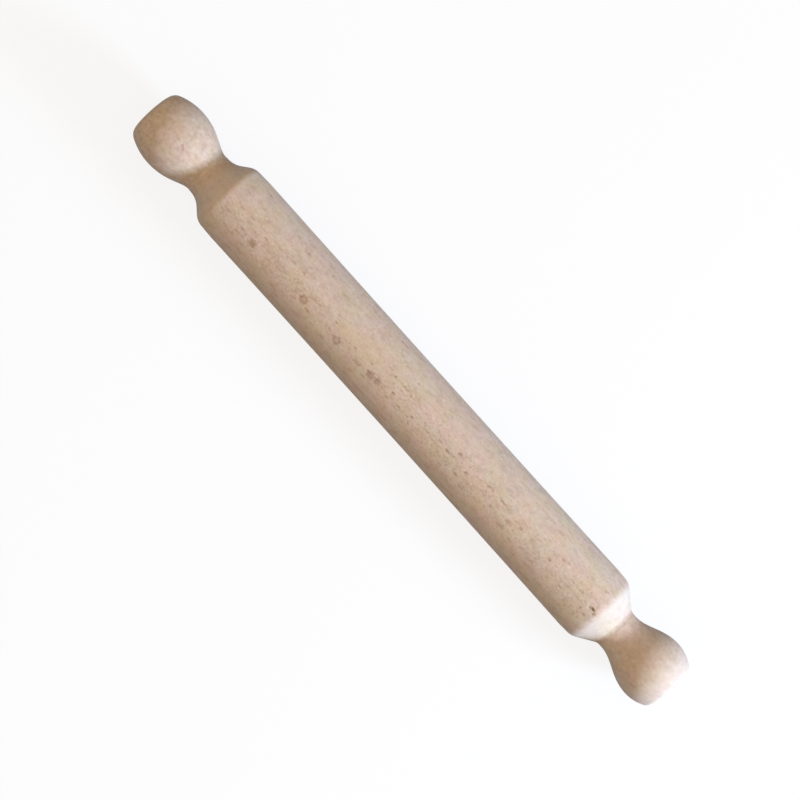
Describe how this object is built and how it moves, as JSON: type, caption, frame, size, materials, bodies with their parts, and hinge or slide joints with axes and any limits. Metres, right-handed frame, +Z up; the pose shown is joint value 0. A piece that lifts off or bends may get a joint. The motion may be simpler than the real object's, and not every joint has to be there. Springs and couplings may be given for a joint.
{
  "type": "rolling pin",
  "caption": "Turned wooden rolling pin: a long, slightly hollowed barrel with coved shoulders and a short fixed knob handle glued into each end.",
  "frame": {"origin": "on the barrel's axis, halfway between the two end faces", "axes": "+X along the pin towards the handle with the thinner neck, +Z up, away from the surface that the pin lies on, +Y across the pin"},
  "size_m": [0.4, 0.0414, 0.0414],
  "materials": {
    "barrel_wood": "bare fine-sanded beech, worn smooth and matt",
    "handle_wood": "bare fine-sanded beech, polished a little by hands"
  },
  "bodies": {
    "root": {"barrel": "barrel_wood", "left_handle": "handle_wood", "right_handle": "handle_wood"}
  },
  "joints": []
}
